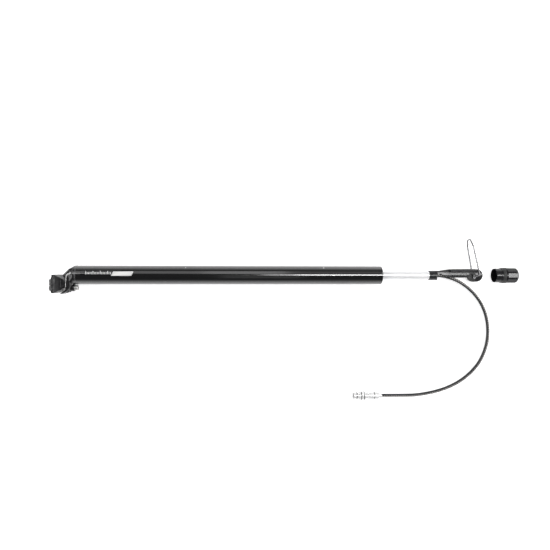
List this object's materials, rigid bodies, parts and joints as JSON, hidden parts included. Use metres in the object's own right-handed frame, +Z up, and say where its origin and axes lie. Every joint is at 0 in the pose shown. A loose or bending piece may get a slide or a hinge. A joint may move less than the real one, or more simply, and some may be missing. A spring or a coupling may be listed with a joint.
{
  "type": "seatpost with built-in pump",
  "caption": "Bicycle seatpost whose tube is the barrel of a hand pump: sliding rod with folding wire foot, hose and valve head, end cap, offset saddle rail clamp.",
  "frame": {"origin": "on the post's axis, at the least insertion, 100 mm above the tube's lower end", "axes": "+X runs down the post and out along the pump rod, +Z is up from the floor that the post lies on, +Y is the front of the bicycle when the post stands up"},
  "size_m": [0.8476, 0.2994, 0.0562],
  "materials": {
    "black_anodised": "gloss",
    "black_forging": "gloss",
    "black_clamp": "satin",
    "bolt_steel": "satin",
    "rod_silver": "satin",
    "foot_plastic": "matte",
    "guide_plastic": "matte",
    "piston_plastic": "matte",
    "rubber_black": "matte",
    "wire_steel": "satin",
    "hose_black": "satin",
    "valve_silver": "satin",
    "brass": "satin",
    "ball_steel": "polished",
    "cap_plastic": "gloss"
  },
  "bodies": {
    "post": {"post_tube": "black_anodised", "head_forging": "black_forging", "head_seal": "rubber_black", "guide_bushing": "guide_plastic", "guide_pin_upper": "bolt_steel", "guide_pin_lower": "bolt_steel", "rod_wiper": "rubber_black", "guide_clip": "bolt_steel", "bumper": "rubber_black"},
    "clamp": {"lower_clamp": "black_clamp", "bolt_washer": "bolt_steel"},
    "bolt": {"clamp_bolt": "bolt_steel"},
    "clamp_top": {"upper_clamp": "black_clamp", "clamp_nut": "bolt_steel"},
    "piston": {"piston": "piston_plastic", "piston_seal": "rubber_black"},
    "rod": {"pump_rod": "rod_silver", "spring_plug": "brass", "check_spring": "bolt_steel", "foot": "foot_plastic", "hose_stop": "brass", "hose_stop_ring": "rubber_black", "hose": "hose_black", "hose_ferrule": "valve_silver", "valve_body": "valve_silver", "valve_tip": "valve_silver", "valve_gasket": "rubber_black"},
    "ball": {"check_ball": "ball_steel"},
    "peg": {"peg_pivot": "bolt_steel", "wire_peg": "wire_steel"},
    "sleeve": {"lock_sleeve": "valve_silver"},
    "cap": {"cap_shell": "cap_plastic", "cap_ring": "rubber_black"}
  },
  "joints": [
    {"name": "clamp_tilt", "type": "hinge", "parent": "post", "child": "clamp", "pos_m": [-0.48041, -0.0155, 0.00923], "axis": [0.0192, 0, 0.9998], "range_deg": [-8, 1]},
    {"name": "bolt_turn", "type": "hinge", "parent": "clamp", "child": "bolt", "pos_m": [-0.48041, -0.0228, 0.00923], "axis": [0.9998, 0, -0.0192], "range_deg": [0, 720]},
    {"name": "clamp_lift", "type": "slide", "parent": "clamp", "child": "clamp_top", "axis": [-0.9998, 0, 0.0192], "range_m": [0, 0.002]},
    {"name": "pump_slide", "type": "slide", "parent": "post", "child": "piston", "axis": [0.9998, 0, -0.0192], "range_m": [-0.135, 0.23]},
    {"name": "rod_turn", "type": "hinge", "parent": "piston", "child": "rod", "pos_m": [0.09998, 0, -0.00192], "axis": [0.9998, 0, -0.0192], "continuous": true},
    {"name": "ball_lift", "type": "slide", "parent": "piston", "child": "ball", "axis": [0.9998, 0, -0.0192], "range_m": [0, 0.001], "stiffness_N_per_m": 20, "springref_m": -0.002, "deforming": ["check_spring"]},
    {"name": "peg_fold", "type": "hinge", "parent": "rod", "child": "peg", "pos_m": [0.27425, -0.0029, -0.00527], "axis": [0.0192, 0, 0.9998], "range_deg": [0, 73]},
    {"name": "sleeve_turn", "type": "hinge", "parent": "rod", "child": "sleeve", "pos_m": [0.06768, -0.2236, -0.01112], "axis": [1, 0, 0], "continuous": true},
    {"name": "cap_slide", "type": "slide", "parent": "rod", "child": "cap", "axis": [1, 0, 0], "range_m": [-0.012, 0.1]}
  ],
  "couplings": [
    {"joint": "bolt_turn", "follows": "clamp_lift", "rad_per_m": 6283.2}
  ]
}
